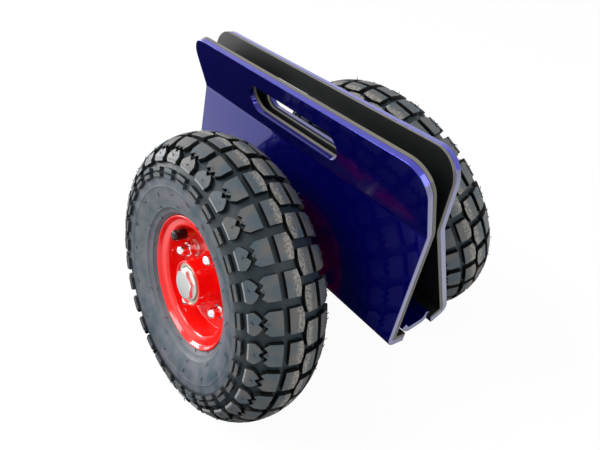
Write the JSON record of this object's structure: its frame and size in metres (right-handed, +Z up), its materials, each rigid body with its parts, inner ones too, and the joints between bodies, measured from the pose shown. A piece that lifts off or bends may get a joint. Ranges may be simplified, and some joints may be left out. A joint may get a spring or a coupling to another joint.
{
  "type": "panel dolly",
  "caption": "Self-locking panel dolly: two rubber-lined steel jaws on a common pivot over leaning pneumatic wheels; the load on the tray between them closes the jaws.",
  "frame": {"origin": "on the floor under the middle of the dolly, halfway between the wheels", "axes": "+X along the plates, the way it rolls; +Y across, from the right wheel to the left; +Z up"},
  "size_m": [0.305, 0.3298, 0.2858],
  "materials": {
    "frame_paint": "gloss",
    "black_rubber": "satin",
    "rim_paint": "gloss",
    "zinc_plate": "satin",
    "chrome_plate": "polished",
    "bearing_steel": "polished",
    "seal_rubber": "matte",
    "grey_tyre": "matte",
    "tube_rubber": "matte",
    "brass": "satin",
    "cap_plastic": "satin"
  },
  "bodies": {
    "tray": {"floor_tray": "frame_paint", "floor_lug": "frame_paint", "pivot_bolt": "zinc_plate", "pivot_nut": "zinc_plate", "pivot_washers": "zinc_plate"},
    "right_jaw": {"right_plate": "frame_paint", "right_lining": "black_rubber", "right_axle_arm": "frame_paint", "right_hinge_ears": "frame_paint", "right_axle_block": "frame_paint", "right_gusset": "frame_paint", "right_axle_bolt": "zinc_plate", "right_axle_washer": "zinc_plate", "right_axle_spacer": "zinc_plate", "right_bearing_spacer": "zinc_plate", "right_bearing_inner_rings": "bearing_steel"},
    "left_jaw": {"left_plate": "frame_paint", "left_lining": "black_rubber", "left_axle_arm": "frame_paint", "left_hinge_ears": "frame_paint", "left_axle_block": "frame_paint", "left_gusset": "frame_paint", "left_axle_bolt": "zinc_plate", "left_axle_washer": "zinc_plate", "left_axle_spacer": "zinc_plate", "left_bearing_spacer": "zinc_plate", "left_bearing_inner_rings": "bearing_steel"},
    "right_wheel": {"right_bearing_outer_rings": "bearing_steel", "right_bearing_balls": "bearing_steel", "right_bearing_seals": "seal_rubber", "right_hub_sleeve": "zinc_plate", "right_rim_outer": "rim_paint", "right_rim_inner": "rim_paint", "right_rim_bolts": "zinc_plate", "right_rim_washers": "zinc_plate", "right_rim_lock_washers": "zinc_plate", "right_rim_nuts": "chrome_plate", "right_tyre": "grey_tyre", "right_inner_tube": "tube_rubber", "right_valve_stem": "brass", "right_valve_cap": "cap_plastic"},
    "left_wheel": {"left_bearing_outer_rings": "bearing_steel", "left_bearing_balls": "bearing_steel", "left_bearing_seals": "seal_rubber", "left_hub_sleeve": "zinc_plate", "left_rim_outer": "rim_paint", "left_rim_inner": "rim_paint", "left_rim_bolts": "zinc_plate", "left_rim_washers": "zinc_plate", "left_rim_lock_washers": "zinc_plate", "left_rim_nuts": "chrome_plate", "left_tyre": "grey_tyre", "left_inner_tube": "tube_rubber", "left_valve_stem": "brass", "left_valve_cap": "cap_plastic"}
  },
  "joints": [
    {"name": "right_jaw_hinge", "type": "hinge", "parent": "tray", "child": "right_jaw", "pos_m": [0, 0, 0.10148], "axis": [1, 0, 0], "range_deg": [0, 15]},
    {"name": "left_jaw_hinge", "type": "hinge", "parent": "tray", "child": "left_jaw", "pos_m": [0, 0, 0.10148], "axis": [1, 0, 0], "range_deg": [-15, 0]},
    {"name": "right_wheel_spin", "type": "hinge", "parent": "right_jaw", "child": "right_wheel", "pos_m": [0, -0.10032, 0.12742], "axis": [0, -0.9681, 0.2504], "continuous": true},
    {"name": "left_wheel_spin", "type": "hinge", "parent": "left_jaw", "child": "left_wheel", "pos_m": [0, 0.10032, 0.12742], "axis": [0, 0.9681, 0.2504], "continuous": true}
  ],
  "couplings": [
    {"joint": "left_jaw_hinge", "follows": "right_jaw_hinge", "ratio": -1}
  ]
}
